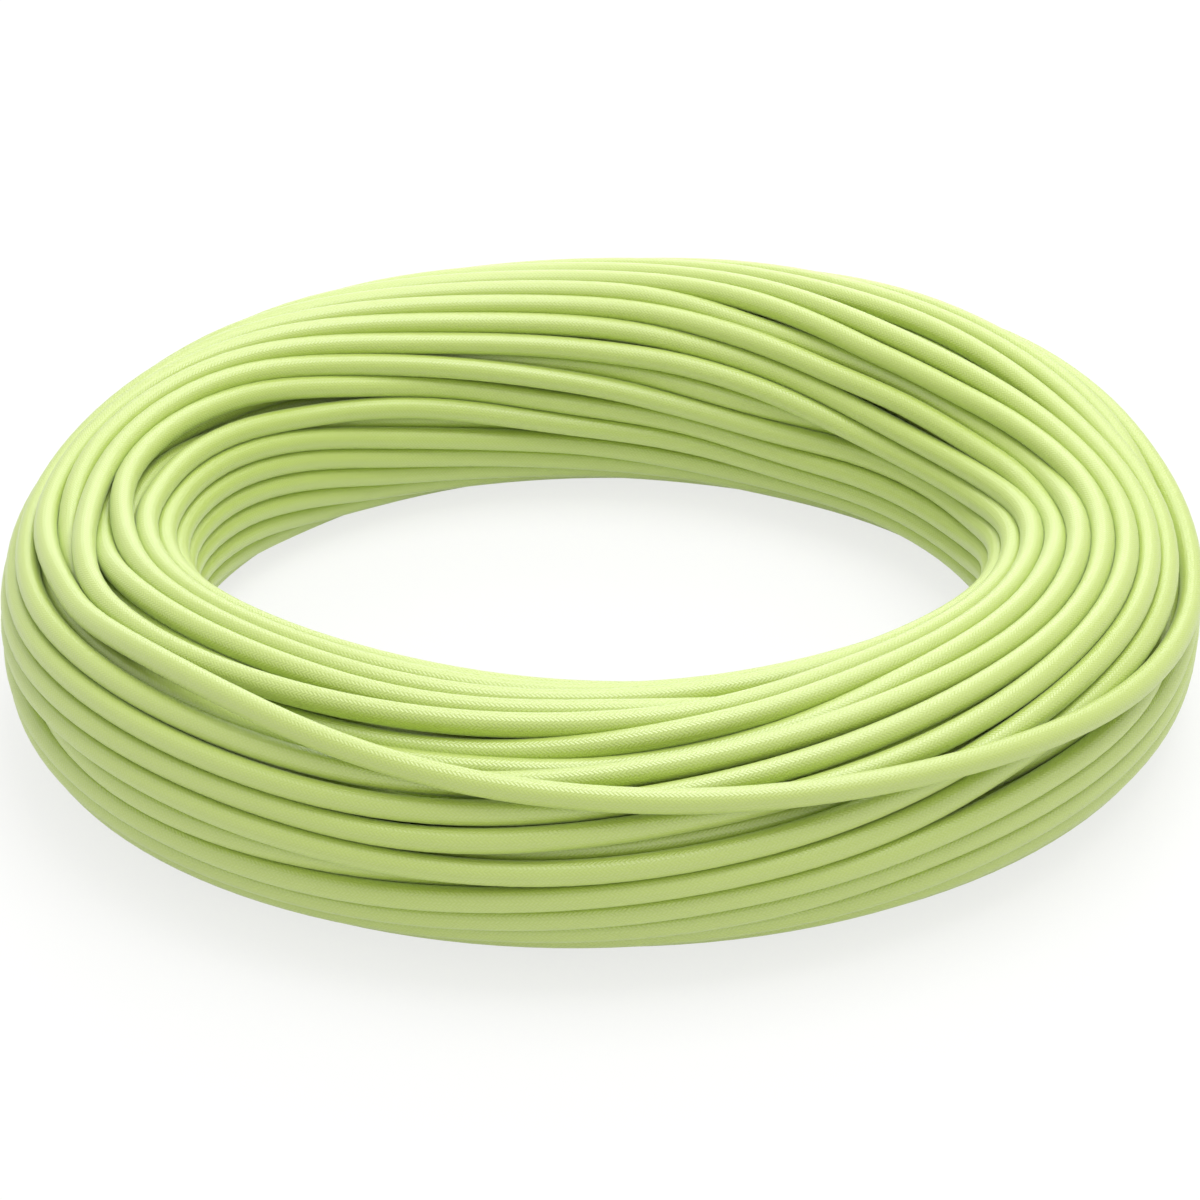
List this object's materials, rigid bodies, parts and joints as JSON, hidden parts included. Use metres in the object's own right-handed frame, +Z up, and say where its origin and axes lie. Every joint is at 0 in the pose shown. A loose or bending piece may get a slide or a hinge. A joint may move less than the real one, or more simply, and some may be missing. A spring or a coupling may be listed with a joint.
{
  "type": "dynamic climbing rope",
  "caption": "Dynamic climbing rope wound in a flat round coil, plain lime green sheath over white core strands, with shrunk sleeves on both ends.",
  "frame": {"origin": "middle of the coil, on the surface that it lies on", "axes": "+Z up out of the coil's eye, -Y towards the viewer, free end a in the eye at the -Y side, free end b behind the coil at the +Y side"},
  "size_m": [0.4582, 0.4582, 0.088],
  "materials": {
    "sheath": "fine tight braid, satin, plain lime green",
    "core_strand": "twisted white yarn",
    "marker_tape": "thin flat tape, matt",
    "label": "blank white film, matt",
    "sleeve": "clear shrunk film, slightly milky",
    "fused_tip": "melted and pressed, darker than the sheath"
  },
  "bodies": {
    "root": {"inner_turns": "sheath", "outer_turns": "sheath", "end_a_tail": "sheath", "end_a_sheath": "sheath", "end_a_marker_tape": "marker_tape", "end_a_core_strand_1": "core_strand", "end_a_core_strand_2": "core_strand", "end_a_core_strand_3": "core_strand", "end_a_core_strand_4": "core_strand", "end_a_core_strand_5": "core_strand", "end_a_core_strand_6": "core_strand", "end_a_core_strand_7": "core_strand", "end_a_core_strand_8": "core_strand", "end_a_core_strand_9": "core_strand", "end_a_core_strand_10": "core_strand", "end_a_core_strand_11": "core_strand", "end_a_core_strand_12": "core_strand", "end_a_label_band": "label", "end_a_sleeve": "sleeve", "end_a_fused_tip": "fused_tip", "end_b_tail": "sheath", "end_b_sheath": "sheath", "end_b_marker_tape": "marker_tape", "end_b_core_strand_1": "core_strand", "end_b_core_strand_2": "core_strand", "end_b_core_strand_3": "core_strand", "end_b_core_strand_4": "core_strand", "end_b_core_strand_5": "core_strand", "end_b_core_strand_6": "core_strand", "end_b_core_strand_7": "core_strand", "end_b_core_strand_8": "core_strand", "end_b_core_strand_9": "core_strand", "end_b_core_strand_10": "core_strand", "end_b_core_strand_11": "core_strand", "end_b_core_strand_12": "core_strand", "end_b_label_band": "label", "end_b_sleeve": "sleeve", "end_b_fused_tip": "fused_tip"}
  },
  "joints": []
}
